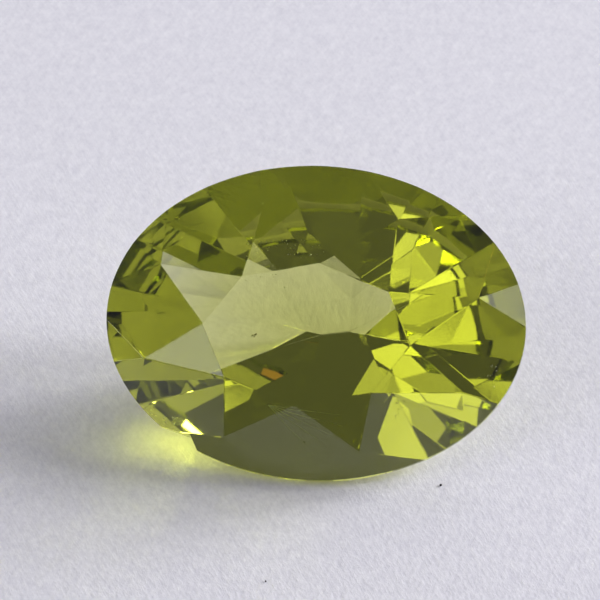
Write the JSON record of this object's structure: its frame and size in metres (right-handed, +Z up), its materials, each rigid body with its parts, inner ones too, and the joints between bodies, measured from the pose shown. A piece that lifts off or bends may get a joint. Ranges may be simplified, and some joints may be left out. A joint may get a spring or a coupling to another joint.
{
  "type": "oval cut peridot",
  "caption": "Loose oval brilliant-cut peridot, a clear yellow-green faceted gemstone lying on a pavilion facet with its table tilted up.",
  "frame": {"origin": "centre of the bottom of the bounding box, in the plane of the surface that the stone lies on", "axes": "+Z up from that surface, +X along the length of the oval, +Y away from the side that the table leans towards"},
  "size_m": [0.008, 0.0048, 0.0038],
  "materials": {
    "peridot": "polished, clear yellow-green"
  },
  "bodies": {
    "root": {"stone": "peridot"}
  },
  "joints": []
}
